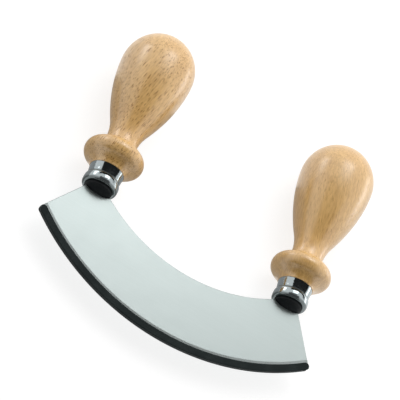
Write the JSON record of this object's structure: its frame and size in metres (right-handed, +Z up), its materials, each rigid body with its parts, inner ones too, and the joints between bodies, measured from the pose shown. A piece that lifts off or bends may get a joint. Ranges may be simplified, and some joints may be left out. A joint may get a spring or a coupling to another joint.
{
  "type": "mezzaluna",
  "caption": "Rocking herb knife with a crescent steel blade, turned wooden handles with plated ferrules, and a plastic edge guard that pulls off.",
  "frame": {"origin": "middle of the footprint, at the height of the table that the knife lies on", "axes": "+Z up, out of one flat side of the blade; the cutting edge and its guard face -Y, the handles point to +Y, and the blade's long chord runs along X"},
  "size_m": [0.1574, 0.1506, 0.0383],
  "materials": {
    "blade_steel": "satin rolled stainless steel, finely ground bevel along the edge",
    "handle_wood": "turned beech, sanded and waxed, small dark flecks",
    "ferrule_plate": "bright nickel or chrome plate on pressed metal",
    "bush_black": "matt black plastic",
    "guard_black": "matt black plastic with faint lengthwise lines"
  },
  "bodies": {
    "knife": {"blade": "blade_steel", "left_handle": "handle_wood", "right_handle": "handle_wood", "left_ferrule": "ferrule_plate", "right_ferrule": "ferrule_plate", "left_bush": "bush_black", "right_bush": "bush_black"},
    "guard": {"edge_guard": "guard_black"}
  },
  "joints": [
    {"name": "guard_pull", "type": "slide", "parent": "knife", "child": "guard", "axis": [0, -0.9981, -0.0611], "range_m": [0, 0.03]}
  ]
}
